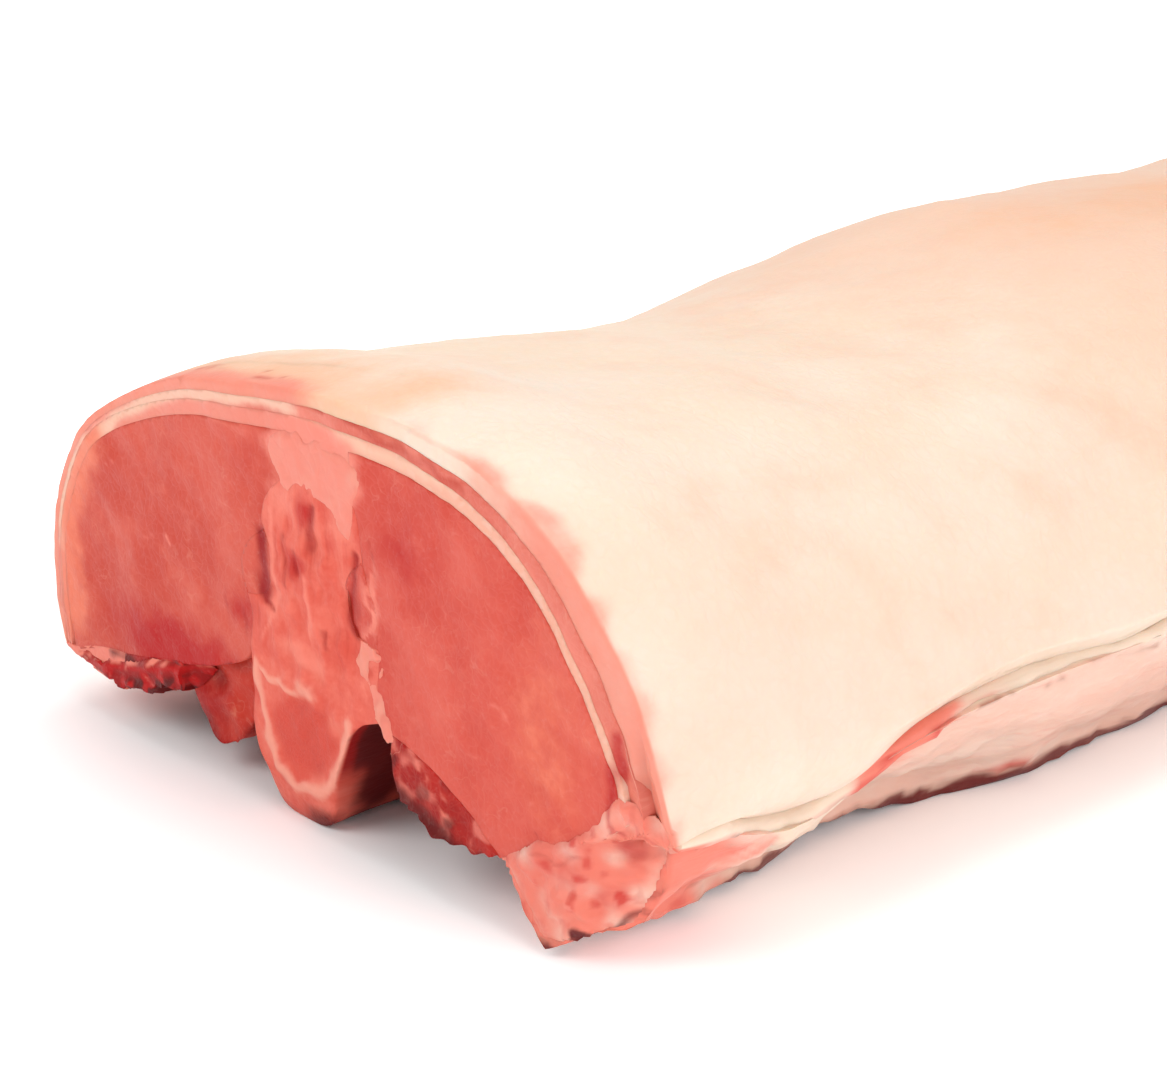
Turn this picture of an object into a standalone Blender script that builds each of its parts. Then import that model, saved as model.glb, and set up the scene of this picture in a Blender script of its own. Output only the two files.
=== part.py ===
"""Pork loin: a double loin on the backbone, under its fat cover, lying with the fat side up.

The cut runs along Y, its front cut face looks along -Y, and it rests on Z = 0. Each muscle, bone and
layer of fat is a solid that runs through the cut. A section across the cut is a set of seam lines, and
neighbours share the seam between them, so every solid is a ring of seams carried along the cut.
Sections are measured in millimetres, X to the right and Z up, and Y runs from the front cut backwards.
"""

import bmesh
import bpy
import numpy as np

MM = 0.001

# Size of the whole cut, with the gap that neighbours keep and the middle between its two sides
LENGTH = 500.0
VERTEBRAE = 13
HALF_VERTEBRA = LENGTH / VERTEBRAE / 2
GAP = 0.3
MIDDLE_X = 2.2

# Heights in a section are measured from a line above the surface that the cut rests on, which is here
REST = -2.0

# Sections, counted in half vertebrae from the front cut, closer where the shape changes fast
SECTIONS = (0, 1, 2, 3, 4, 5, 6, 7, 8, 10, 12, 15, 18, 22, 26)

# Over this distance the shape of the underside at the front cut turns into that of the rest
FRONT_FADE = 130.0

# Height and width of the section along the cut: distance from the front, then the factor
HEIGHTS = (
    (0, 1.0), (19, 1.025), (38, 1.015), (60, 0.97), (90, 0.945), (125, 0.915), (150, 0.885), (192, 0.865),
    (231, 0.905), (260, 0.965), (290, 1.015), (330, 1.015), (400, 0.98), (500, 0.975),
)
WIDTHS = ((0, 1.0), (19, 1.02), (38, 1.015), (77, 0.98), (200, 0.98), (320, 1.02), (500, 1.02))

# Outline of the back at the front cut, over the top from the left side to the right side
BACK = (
    (-134, 40), (-132.5, 56), (-127, 73), (-106, 96), (-62, 116.5), (-25, 122.5), (5, 126),
    (45, 126), (78, 120.5), (104, 106), (125, 84), (135, 64),
)
OUTLINE_STEPS = 29
FINE_STEPS = 600

# The ridge is the step of the outline over the spines, and the wedge of fat lies between its neighbours
RIDGE_STEP = 15
RIDGE_X = 5.5

# Where the skin turns in above its lower edge: on the left from the point halfway up to the side, and on
# the right by distance from the front
TURN_LEFT = (-2.0, -2.0)
TURN_RIGHT = (
    (0, 138.5, 45), (38, 140, 44), (65, 136, 41), (80, 134, 42), (97, 136, 50), (150, 135, 50),
    (250, 138, 52), (500, 139, 52),
)

# The layers end level at the skin's edge, over this share of the outline
LEVEL_SHARE = 0.08

# Thickness of the outer fat, the lean sheet and the inner fat, by how far from the ridge to the skin's edge
LAYERS = (
    (0.0, 3.6, 3.2, 4.8),
    (0.2, 4.4, 3.8, 4.6),
    (0.45, 7.0, 4.8, 4.0),
    (0.7, 9.5, 6.5, 3.0),
    (1.0, 7.0, 5.0, 2.5),
)

# On the left the layers are thin at the front cut: their share of the full thickness there, where along
# the back they are full again, and how far from the front
LEFT_FRONT_SHARE = (0.25, 0.22, 1.1)
THIN_WIDTH = 0.3
THIN_END = 230.0

# Lower edge of the skin on each side: distance from the front, X, Z
SKIN_RIGHT = (
    (0, 126, 35), (19, 131, 36), (38, 129, 30), (58, 123, 24), (77, 122, 25), (86, 127, 35),
    (96, 131, 40), (115, 132, 42.5), (154, 132, 43.5), (192, 132, 42), (250, 133, 42), (320, 130, 40),
    (400, 134, 43), (500, 131, 41),
)
SKIN_LEFT = (
    (0, -130, 16), (38, -125, 17), (77, -119, 19), (115, -113, 22), (154, -109, 24), (192, -108, 23),
    (250, -112, 27), (346, -108, 25), (423, -112, 28), (500, -109, 26),
)

# Lower outer edge of the flank under the skin
FLANK_RIGHT = (
    (0, 119, 12), (19, 113, 8), (38, 107, 4), (58, 102, 1), (77, 98, -1), (96, 98, 3), (115, 97, 4),
    (135, 96, REST), (154, 103, REST), (173, 108, REST), (192, 110, REST), (231, 104, REST),
    (288, 109, REST), (346, 103, REST), (423, 107, REST), (500, 102, REST),
)
FLANK_LEFT = (
    (0, -121, 12.5), (38, -117, 9), (77, -112, 3), (115, -109, REST), (154, -113, REST),
    (192, -108, REST), (231, -103, REST), (288, -109, REST), (346, -112, REST), (423, -105, REST),
    (500, -108, REST),
)

# Inner end of the strip on which each flank rests, and how far its outer wall bulges
TIP_RIGHT = ((0, 96, 1), (38, 92, -1), (96, 86, -1), (135, 86, REST), (173, 92, REST), (500, 91, REST))
TIP_LEFT = ((0, -106, 11), (38, -104, 8), (77, -100, 3), (115, -97, REST), (500, -93, REST))
BULGE_RIGHT = ((0, 2), (77, 0), (115, 2), (154, 3), (192, 3), (288, 2), (346, 5), (423, 2), (500, 4))
BULGE_LEFT = ((0, 0), (77, 2), (154, 6), (231, 4), (288, 7), (346, 5), (500, 7))

# The corner of the front cut under the right side lies this far back, and the rest evens out behind it
SET_BACK = 14.0
SET_BACK_FADE = 60.0
SET_BACK_X = 108.0
SET_BACK_Z = 48.0
SET_BACK_EASE = 14.0

# The cut through the first vertebra ends this high, and just behind it the underside reaches the ground
CUT_BODY_HEIGHT = 8.0
BODY_CHAMFER = 3.0
BODY_DROP_HEIGHT = 28.0
BODY_WAIST = 0.12
BODY_MIDDLE_X = -8.0

# The tenderloins swell towards the middle of the cut. The left one hangs just behind the front cut, and
# the tip of the right one lies back in its hollow, sloping away from the meat over it
TENDERLOIN_SWELL = ((0, 1.0), (96, 0.84), (192, 1.0), (300, 1.16), (420, 1.1), (500, 0.95))
TENDERLOIN_LEFT_START = 5.0
TENDERLOIN_RIGHT_START = 3 * HALF_VERTEBRA
TIP_SLOPE = 0.35
TIP_TOP = 38.0

# The thin lining under the eyes waves up and down by this much, over this distance
LINING_WAVE = 1.3
LINING_WAVE_LENGTH = 95.0

# A sharp corner moves in by no more than this share allows, and edges sharper than this stay hard
CORNER_LIMIT = 0.35
HARD_EDGE = np.radians(40.0)

# Colours
FAT_CREAM = (0.93, 0.78, 0.66)
SEAM_FAT = (0.90, 0.55, 0.42)
EYE_RED = (0.66, 0.13, 0.10)
LEAN_PINK = (0.78, 0.28, 0.21)
DARK_RED = (0.36, 0.05, 0.04)
LINING = (0.46, 0.17, 0.14)
BONE_PINK = (0.72, 0.22, 0.18)
FLANK_PINK = (0.88, 0.44, 0.34)


def at(table, distance):
    """The values that a table gives at this distance, between its rows in proportion."""
    rows = np.array(table, float)
    values = [np.interp(distance, rows[:, 0], column) for column in rows[:, 1:].T]
    return values[0] if len(values) == 1 else np.array(values)


def ease(value):
    """0 below 0, 1 above 1, and a smooth rise between."""
    value = np.clip(value, 0.0, 1.0)
    return value * value * (3.0 - 2.0 * value)


def smooth_curve(points, steps):
    """Evenly spaced points along a smooth curve through the given ones."""
    points = np.array(points, float)
    points = np.vstack([2 * points[0] - points[1], points, 2 * points[-1] - points[-2]])
    fine = []
    for a, b, c, d in zip(points, points[1:], points[2:], points[3:]):
        for t in np.linspace(0.0, 1.0, 16, endpoint=False):
            bend = (2 * a - 5 * b + 4 * c - d) * t * t + (3 * b - a - 3 * c + d) * t**3
            fine.append(b + 0.5 * ((c - a) * t + bend))
    fine.append(points[-2])
    fine = np.array(fine)
    run = np.concatenate([[0.0], np.cumsum(np.linalg.norm(np.diff(fine, axis=0), axis=1))])
    even = np.linspace(0.0, run[-1], steps + 1)
    return np.column_stack([np.interp(even, run, fine[:, 0]), np.interp(even, run, fine[:, 1])])


def back_outline(y):
    """The outside of the fat cover in the section at y, from the left skin edge to the right one."""
    size = at(WIDTHS, y), at(HEIGHTS, y)
    back = np.array(BACK) * size
    left, right = at(SKIN_LEFT, y), at(SKIN_RIGHT, y)
    left_turn = 0.5 * (left + back[0]) + TURN_LEFT
    fine = smooth_curve([left, left_turn, *back, at(TURN_RIGHT, y), right], FINE_STEPS)
    steps = np.arange(FINE_STEPS + 1)
    top = fine[:, 1] > 0.5 * fine[:, 1].max()
    ridge = np.interp(RIDGE_X * size[0], fine[top, 0], steps[top])
    before = np.linspace(0.0, ridge, RIDGE_STEP, endpoint=False)
    after = np.linspace(ridge, FINE_STEPS, OUTLINE_STEPS - RIDGE_STEP + 1)
    places = np.concatenate([before, after])
    return np.column_stack([np.interp(places, steps, fine[:, 0]), np.interp(places, steps, fine[:, 1])])


def inward(outline):
    """The direction from each point of the outline into the cut, level at both skin edges."""
    along = np.gradient(outline, axis=0)
    normal = np.column_stack([along[:, 1], -along[:, 0]])
    normal /= np.linalg.norm(normal, axis=1)[:, None]
    fraction = np.linspace(0.0, 1.0, len(outline))
    level = ease(1.0 - np.minimum(fraction, 1.0 - fraction) / LEVEL_SHARE)[:, None]
    sideways = np.where(fraction < 0.5, 1.0, -1.0)[:, None] * (1.0, 0.0)
    mixed = normal * (1.0 - level) + sideways * level
    return mixed / np.linalg.norm(mixed, axis=1)[:, None]


def layer_depths(y):
    """How deep under the outline each of the three layers of the cover ends."""
    fraction = np.linspace(0.0, 1.0, OUTLINE_STEPS + 1)
    thickness = np.array([at(LAYERS, abs(2.0 * f - 1.0)) for f in fraction])
    on_left = ease((0.5 - fraction) / THIN_WIDTH)[:, None]
    near_front = 1.0 - ease(y / THIN_END)
    share = 1.0 - on_left * near_front * (1.0 - np.array(LEFT_FRONT_SHARE))
    return np.cumsum(thickness * share, axis=1)


def flank_outline(inner, tip, edge, skin, bulge):
    """The free outline of a flank, from the meat over it down to the ground and out to the skin's edge."""
    side = np.sign(edge[0])
    wall = 0.5 * (edge + skin) + (side * bulge, 0.0)
    slope = 0.55 * inner + 0.45 * tip + (side * 1.0, -1.0)
    foot = tip + (-side * 3.0, 2.5)
    flat_end = 0.35 * tip + 0.65 * edge
    corner = edge + (side * 0.6 * bulge, 0.22 * (skin[1] - edge[1]))
    return np.array([inner, slope, foot, tip, flat_end, edge, corner, wall, skin])


def body_outline(first, last, y):
    """The free underside of a vertebra in the section at y, waisted halfway between two joints."""
    flat = [(3, 10.5), (-2, CUT_BODY_HEIGHT), (-17, CUT_BODY_HEIGHT), (-22, 10.5)]
    under = np.array([first, *flat, (-26, 17), (-28, 27), (-28, 36), last])
    lower = (CUT_BODY_HEIGHT - REST) * min(1.0, y / BODY_CHAMFER)
    share = 1.0 - (under[1:-1, 1] - CUT_BODY_HEIGHT) / BODY_DROP_HEIGHT
    under[1:-1, 1] -= lower * np.clip(share, 0.0, 1.0)
    waist = 1.0 + BODY_WAIST * np.cos(np.pi * y / HALF_VERTEBRA)
    under[1:-2, 0] = BODY_MIDDLE_X + (under[1:-2, 0] - BODY_MIDDLE_X) * waist
    return under


def swollen(points, middle, y):
    """Points pushed out from the middle as far as the tenderloin swells here."""
    middle = np.array(middle, float)
    return list(middle + (np.array(points, float) - middle) * at(TENDERLOIN_SWELL, y))


def lining_wave(y):
    """How far the lining's underside is lifted or lowered at y."""
    return np.array((0.0, LINING_WAVE * np.sin(2.0 * np.pi * y / LINING_WAVE_LENGTH)))


def left_underside(y, edges, moved):
    """The seams under the left side, from the ends of its layers (edges) with the outermost first."""
    bone_corner = moved((-30, 42), (-30, 42))
    gap = moved((-36, 38.5), (-36, 38.5))
    lining_end = moved((-66, 29), (-60, 29.5))
    lining_foot = moved((-67, 19.5), (-60, 19))
    flank_top = moved((-97, 22), (-80, 22))
    flank_foot = moved((-98, 10.5), (-85, 12))
    lining_middle = 0.5 * (lining_foot + flank_foot) + (0, 1.5) + lining_wave(y)
    flank_middle = 0.5 * (flank_top + edges[-1]) + (0, 1.5)
    outer, inner = [(-34, 28), (-38, 14), (-50, 6), (-62, 10)], [(-35, 27), (-37, 10), (-46, 4), (-56, 9)]
    hanging = swollen([moved(front, rear) for front, rear in zip(outer, inner)], (-48, 34), y)
    flank = flank_outline(flank_foot, at(TIP_LEFT, y), at(FLANK_LEFT, y), edges[0], at(BULGE_LEFT, y))
    return {
        "left gap": np.array([bone_corner, gap]),
        "left eye and tenderloin": smooth_curve([gap, moved((-49, 33.5), (-49, 33.5)), lining_end], 3),
        "left eye and lining": smooth_curve([lining_end, flank_top], 3),
        "left lining end": np.array([lining_end, lining_foot]),
        "left lining under": smooth_curve([lining_foot, lining_middle, flank_foot], 3),
        "left lining and flank": np.array([flank_top, flank_foot]),
        "left eye and flank": smooth_curve([flank_top, flank_middle, edges[-1]], 3),
        "left layer ends": edges[::-1],
        "left flank": flank,
        "left tenderloin under": smooth_curve([gap, *hanging, lining_foot], 6),
    }


def right_underside(y, edges, moved):
    """The seams under the right side, from the ends of its layers (edges) with the outermost first."""
    def seam(points, steps):
        return smooth_curve([moved(point, point) for point in points], steps)

    wave = lining_wave(y)
    lining_top = seam([(34, 38.5), (42, 37), (52, 34), (62, 30), (71, 23.5), (78, 19.5)], 4)
    lining_side = seam([(34, 38.5), (33, 30), (37, 21)], 2)
    lining_low, lining_end = lining_side[-1], lining_top[-1]
    under = [moved(point, point) + wave for point in ((50, 18), (60, 18), (70, 17.5))]
    flank_middle = 0.5 * (lining_end + edges[-1]) + (0, 1.5)
    flank = flank_outline(lining_end, at(TIP_RIGHT, y), at(FLANK_RIGHT, y), edges[0], at(BULGE_RIGHT, y))
    hanging = swollen([lining_low + (-1.5, -11), (26, 3.5), (15, 5)], (24, 32), y)
    bone_corner, body_foot = moved((28, 40.5), (28, 40.5)), moved((8, 16), (8, 16))
    return {
        "right gap": np.array([bone_corner, lining_top[0]]),
        "right eye and lining": lining_top,
        "right lining side": lining_side,
        "right lining under": smooth_curve([lining_low, *under, lining_end], 4),
        "right eye and flank": smooth_curve([lining_end, flank_middle, edges[-1]], 3),
        "right layer ends": edges[::-1],
        "right flank": flank,
        "right tenderloin under": smooth_curve([lining_low, *hanging, body_foot], 5),
    }


def section(y):
    """Every seam of the section at y by its name, as points (x, z)."""
    size = at(WIDTHS, y), at(HEIGHTS, y)
    later = ease(y / FRONT_FADE)

    def seam(points, steps):
        return smooth_curve(np.array(points) * size, steps)

    def moved(front, rear):
        return (np.array(front) * (1.0 - later) + np.array(rear) * later) * size

    outline = back_outline(y)
    depths = layer_depths(y)
    layers = [outline] + [outline + inward(outline) * depths[:, i : i + 1] for i in range(3)]
    under_fat, under_lean, under_seam = layers[1:]
    left_end, right_start = RIDGE_STEP - 1, RIDGE_STEP + 1
    seams = {
        "outline": outline,
        "under fat": under_fat,
        "under lean": under_lean,
        "left eye top": under_seam[: left_end + 1],
        "right eye top": under_seam[right_start:],
        "wedge floor": seam([(-10, 100), (-3, 101.5), (5, 100), (13, 99), (20, 100)], 4),
        "left upper bone": seam([(-10, 100), (-19, 94), (-23, 87), (-22, 82)], 3),
        "left deep outside": seam([(-22, 82), (-30, 76), (-33, 69), (-30, 61)], 3),
        "left deep inside": seam([(-22, 82), (-18.5, 76), (-18, 68), (-22, 62), (-30, 61)], 4),
        "left lower bone": seam([(-30, 61), (-28, 50), (-30, 42)], 2),
        "right upper bone": seam([(20, 100), (22, 92), (22, 84)], 2),
        "right deep outside": seam([(22, 84), (26, 76), (28, 68), (28, 61)], 3),
        "right deep inside": seam([(22, 84), (16, 81), (14.5, 72), (16, 63), (28, 61)], 4),
        "right lower bone": seam([(28, 61), (27, 50), (28, 40.5)], 2),
        "right body side": seam([(28, 40.5), (21, 38.5), (15.5, 35), (13.5, 27), (8, 16)], 4),
    }
    left_middle, right_middle = np.array((-5.5, 107)) * size, np.array((19, 107)) * size
    left_floor, right_floor = seams["wedge floor"][0], seams["wedge floor"][-1]
    seams["left wedge side"] = np.array([under_seam[left_end], left_middle, left_floor])
    seams["right wedge side"] = np.array([under_seam[right_start], right_middle, right_floor])
    seams.update(left_underside(y, np.array([layer[0] for layer in layers]), moved))
    seams.update(right_underside(y, np.array([layer[-1] for layer in layers]), moved))
    seams["body under"] = body_outline(seams["right body side"][-1], seams["left lower bone"][-1], y)
    return seams


# Each solid's ring of seams, with a minus where a seam is followed from its end to its start
RINGS = {
    "fat_cover": ("outline", "-under fat"),
    "cover_lean": ("under fat", "-under lean"),
    "seam_fat": (
        "under lean", "-right eye top", "right wedge side", "-wedge floor", "-left wedge side",
        "-left eye top",
    ),
    "loin_eye_left": (
        "left eye top", "left wedge side", "left upper bone", "left deep outside", "left lower bone",
        "left gap", "left eye and tenderloin", "left eye and lining", "left eye and flank",
    ),
    "loin_eye_right": (
        "right eye top", "-right eye and flank", "-right eye and lining", "-right gap", "-right lower bone",
        "-right deep outside", "-right upper bone", "-right wedge side",
    ),
    "deep_muscle_left": ("left deep inside", "-left deep outside"),
    "deep_muscle_right": ("right deep outside", "-right deep inside"),
    "backbone": (
        "wedge floor", "right upper bone", "right deep inside", "right lower bone", "right body side",
        "body under", "-left lower bone", "-left deep inside", "-left upper bone",
    ),
    "lining_left": ("left eye and lining", "left lining and flank", "-left lining under", "-left lining end"),
    "lining_right": ("right eye and lining", "-right lining under", "-right lining side"),
    "tenderloin_left": ("left eye and tenderloin", "left lining end", "-left tenderloin under"),
    "tenderloin_right": ("right gap", "right lining side", "right tenderloin under", "-right body side"),
    "flank_left": ("left eye and flank", "left layer ends", "-left flank", "-left lining and flank"),
    "flank_right": ("right eye and flank", "right layer ends", "-right flank"),
}

COLOURS = {
    "fat_cover": FAT_CREAM,
    "cover_lean": LEAN_PINK,
    "seam_fat": SEAM_FAT,
    "loin_eye": EYE_RED,
    "deep_muscle": DARK_RED,
    "backbone": BONE_PINK,
    "lining": LINING,
    "tenderloin": DARK_RED,
    "flank": FLANK_PINK,
}


def ring_points(name, seams):
    """The closed outline of one solid in a section, and whether each side follows its seam forward."""
    points, forward = [], []
    for seam_name in RINGS[name]:
        seam = seams[seam_name.lstrip("-")]
        ahead = not seam_name.startswith("-")
        seam = seam if ahead else seam[::-1]
        points.extend(seam[:-1])
        forward.extend([ahead] * (len(seam) - 1))
    return np.array(points), forward


def shrunk(points):
    """The outline moved inwards by half of the gap between neighbours."""
    following = np.roll(points, -1, axis=0)
    area = np.sum(points[:, 0] * following[:, 1] - following[:, 0] * points[:, 1])
    side = following - points
    side /= np.linalg.norm(side, axis=1)[:, None]
    normal = np.column_stack([-side[:, 1], side[:, 0]]) * np.sign(area)
    before = np.roll(normal, 1, axis=0)
    corner = normal + before
    corner /= np.maximum(1.0 + np.sum(normal * before, axis=1), CORNER_LIMIT)[:, None]
    return points + 0.5 * GAP * corner


def set_back(x, y, z):
    """How far the front cut is set back here, under the right side."""
    corner = ease((x - SET_BACK_X) / SET_BACK_EASE) * ease((SET_BACK_Z - z) / SET_BACK_EASE)
    return SET_BACK * corner * max(0.0, 1.0 - y / SET_BACK_FADE)


def section_between(y):
    """The seams at y, in a straight line between the two sections around it."""
    places = [HALF_VERTEBRA * step for step in SECTIONS]
    index = min(np.searchsorted(places, y, side="right"), len(places) - 1)
    before, after = places[index - 1], places[index]
    share = (y - before) / (after - before)
    first, second = section(before), section(after)
    seams = {key: first[key] * (1.0 - share) + second[key] * share for key in first}
    bone_corner, body_foot = seams["left lower bone"][-1], seams["right body side"][-1]
    seams["body under"] = body_outline(body_foot, bone_corner, y)
    return seams


def distances(name):
    """Where along the cut this solid has its sections."""
    steps = range(SECTIONS[-1] + 1) if name == "backbone" else SECTIONS
    places = [HALF_VERTEBRA * step for step in steps]
    if name == "backbone":
        places.insert(1, BODY_CHAMFER)
    if name == "tenderloin_left":
        places[0] = TENDERLOIN_LEFT_START
    if name == "tenderloin_right":
        places = [place for place in places if place >= TENDERLOIN_RIGHT_START - 1.0]
    return places


def tip_slope(name, place, z):
    """How far the tip of the right tenderloin slopes back towards its underside."""
    if name != "tenderloin_right" or place > TENDERLOIN_RIGHT_START + 1.0:
        return 0.0
    return TIP_SLOPE * max(0.0, TIP_TOP - z)


def build_solid(name):
    """One solid through the cut, from its rings."""
    mesh = bmesh.new()
    rows, forward = [], []
    for place in distances(name):
        points, forward = ring_points(name, section_between(place))
        row = []
        for x, z in shrunk(points):
            y = place + set_back(x, place, z) + tip_slope(name, place, z)
            spot = (x - MIDDLE_X, y - LENGTH / 2, z - REST - GAP / 2)
            row.append(mesh.verts.new([value * MM for value in spot]))
        rows.append(row)
    for near, far in zip(rows, rows[1:]):
        for i, ahead in enumerate(forward):
            j = (i + 1) % len(near)
            if ahead:
                mesh.faces.new((near[i], near[j], far[j]))
                mesh.faces.new((near[i], far[j], far[i]))
            else:
                mesh.faces.new((near[i], near[j], far[i]))
                mesh.faces.new((near[j], far[j], far[i]))
    ends = [mesh.faces.new(rows[0]), mesh.faces.new(rows[-1])]
    mesh.normal_update()
    bmesh.ops.triangulate(mesh, faces=ends)
    bmesh.ops.recalc_face_normals(mesh, faces=mesh.faces)
    data = bpy.data.meshes.new(name)
    mesh.to_mesh(data)
    mesh.free()
    data.shade_smooth()
    data.set_sharp_from_angle(angle=HARD_EDGE)
    solid = bpy.data.objects.new(name, data)
    bpy.context.scene.collection.objects.link(solid)
    return solid


def meat_material(name, colour):
    """A plain moist finish in one colour."""
    material = bpy.data.materials.new(name)
    material.use_nodes = True
    shader = material.node_tree.nodes["Principled BSDF"]
    shader.inputs["Base Color"].default_value = (*colour, 1.0)
    shader.inputs["Roughness"].default_value = 0.4
    shader.inputs["Metallic"].default_value = 0.0
    return material


def clear_scene():
    """Removes whatever is in the scene."""
    for thing in list(bpy.data.objects):
        bpy.data.objects.remove(thing)


def main():
    clear_scene()
    for name in RINGS:
        solid = build_solid(name)
        kind = next(kind for kind in COLOURS if name.startswith(kind))
        solid.data.materials.append(meat_material(name, COLOURS[kind]))


main()
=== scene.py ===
import math

import bpy
import numpy as np
from mathutils import Matrix, Vector
from mathutils.bvhtree import BVHTree


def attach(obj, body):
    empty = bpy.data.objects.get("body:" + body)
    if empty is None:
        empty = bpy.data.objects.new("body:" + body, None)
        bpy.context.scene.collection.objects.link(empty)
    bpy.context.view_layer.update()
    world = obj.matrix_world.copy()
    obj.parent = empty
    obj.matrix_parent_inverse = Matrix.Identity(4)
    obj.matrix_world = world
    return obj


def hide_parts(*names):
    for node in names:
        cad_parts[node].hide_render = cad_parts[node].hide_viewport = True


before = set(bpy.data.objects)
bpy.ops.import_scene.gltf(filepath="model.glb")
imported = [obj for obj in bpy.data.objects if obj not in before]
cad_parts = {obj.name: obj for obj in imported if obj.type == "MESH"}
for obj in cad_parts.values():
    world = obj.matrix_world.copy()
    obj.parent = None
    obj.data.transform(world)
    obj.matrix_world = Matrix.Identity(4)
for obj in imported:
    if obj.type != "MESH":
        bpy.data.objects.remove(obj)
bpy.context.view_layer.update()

# Camera. It stands in front of the right corner of the cut face and looks down at it a little, from just
# under a metre away.
turn, tilt = math.radians(48), math.radians(20)
camera_right = Vector((math.cos(turn), math.sin(turn), 0))
camera_back = Vector((math.sin(turn) * math.cos(tilt), -math.cos(turn) * math.cos(tilt), math.sin(tilt)))
camera_up = camera_back.cross(camera_right)
camera_data = bpy.data.cameras.new("camera")
camera_data.lens = 81.75
camera_data.sensor_width = 36
camera_data.sensor_fit = "HORIZONTAL"
camera = bpy.data.objects.new("camera", camera_data)
bpy.context.scene.collection.objects.link(camera)
camera_place = Matrix.Translation((0.5441, -0.6429, 0.3285))
camera.matrix_world = camera_place @ Matrix((camera_right, camera_up, camera_back)).transposed().to_4x4()
bpy.context.scene.camera = camera


# Table and light. The meat lies on a plain white table in a bright white studio, lit from above, the front
# and the right by large soft lamps. Away from the meat the table glows faintly, so that it stays white out
# to the edges of the picture.
class Tone:
    """A value or colour in a material's nodes, so that a finish reads as plain sums."""

    def __init__(self, tree, socket):
        self.tree = tree
        self.socket = socket

    def node(self, kind, inputs, settings=None, output=0):
        """A new node of this kind, with its settings made first and then its inputs."""
        made = self.tree.nodes.new(kind)
        for name, value in (settings or {}).items():
            setattr(made, name, value)
        for name, value in inputs.items():
            if isinstance(value, Tone):
                self.tree.links.new(value.socket, made.inputs[name])
            else:
                made.inputs[name].default_value = value
        return Tone(self.tree, made.outputs[output])

    def maths(self, operation, *values):
        return self.node("ShaderNodeMath", dict(enumerate(values)), {"operation": operation})

    def __add__(self, other):
        return self.maths("ADD", self, other)

    __radd__ = __add__

    def __sub__(self, other):
        return self.maths("SUBTRACT", self, other)

    def __rsub__(self, other):
        return self.maths("SUBTRACT", other, self)

    def __mul__(self, other):
        return self.maths("MULTIPLY", self, other)

    __rmul__ = __mul__

    def __abs__(self):
        return self.maths("ABSOLUTE", self)

    def step(self, low, high):
        """0 where this is below low, 1 where it is above high, and a smooth rise between."""
        inputs = {"Value": self, "From Min": low, "From Max": high, "To Min": 0.0, "To Max": 1.0}
        return self.node("ShaderNodeMapRange", inputs, {"interpolation_type": "SMOOTHSTEP"})

    def vector(self, operation, other):
        """These coordinates and others in one vector sum, difference or product."""
        return self.node("ShaderNodeVectorMath", {0: self, 1: other}, {"operation": operation})

    def stretched(self, x, y, z):
        """These coordinates multiplied along each axis."""
        return self.vector("MULTIPLY", (x, y, z))

    def swayed(self, scale, amount):
        """These coordinates moved about by soft noise of this scale."""
        inputs = {"Vector": self, "Scale": scale, "Detail": 2.0}
        noise = self.node("ShaderNodeTexNoise", inputs, output="Color")
        shift = noise.vector("SUBTRACT", (0.5, 0.5, 0.5)).stretched(amount, amount, amount)
        return self.vector("ADD", shift)

    def grain(self, scale, detail=3.0, roughness=0.5):
        """Soft noise around 0.5, with this many features per metre."""
        inputs = {"Vector": self, "Scale": scale, "Detail": detail, "Roughness": roughness}
        return self.node("ShaderNodeTexNoise", inputs)

    def cells(self, scale):
        """Bundles packed side by side: the distance from the nearest border between two."""
        inputs = {"Vector": self, "Scale": scale, "Randomness": 1.0}
        return self.node("ShaderNodeTexVoronoi", inputs, {"feature": "DISTANCE_TO_EDGE"})

    def blend(self, first, second):
        """The first colour where this value is 0, and the second one where it is 1."""
        inputs = {"Factor": self, "A": first, "B": second}
        return self.node("ShaderNodeMix", inputs, {"data_type": "RGBA"}, output="Result")

    def mixed(self, other, factor):
        """This colour turned into the other one by the factor."""
        return factor.blend(self, other)

    def axis(self, name):
        """One of the three coordinates, in metres."""
        return self.node("ShaderNodeSeparateXYZ", {"Vector": self}, output=name)

    def painted(self, name):
        """The numbers that a piece stores at its points under this name."""
        return self.node("ShaderNodeAttribute", {}, {"attribute_name": name}, output="Fac")

    def layered(self, layers, noise):
        """This colour with each painted layer over it. The noise makes the edges of the layers uneven."""
        colour = self
        for name, shade in layers:
            mask = self.painted(name)
            uneven = mask * (1.0 - mask) * (noise - 0.5) * 4.0
            colour = colour.mixed(shade, (mask + uneven).step(0.02, 0.98))
        return colour


def new_finish(name, inputs):
    """A new material with these inputs, with its shader and the coordinates of the piece that wears it."""
    finish = bpy.data.materials.new(name)
    finish.use_nodes = True
    tree = finish.node_tree
    shader = tree.nodes["Principled BSDF"]
    for socket, value in inputs.items():
        shader.inputs[socket].default_value = value
    return finish, shader, Tone(tree, None).node("ShaderNodeTexCoord", {}, output="Object")


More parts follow.
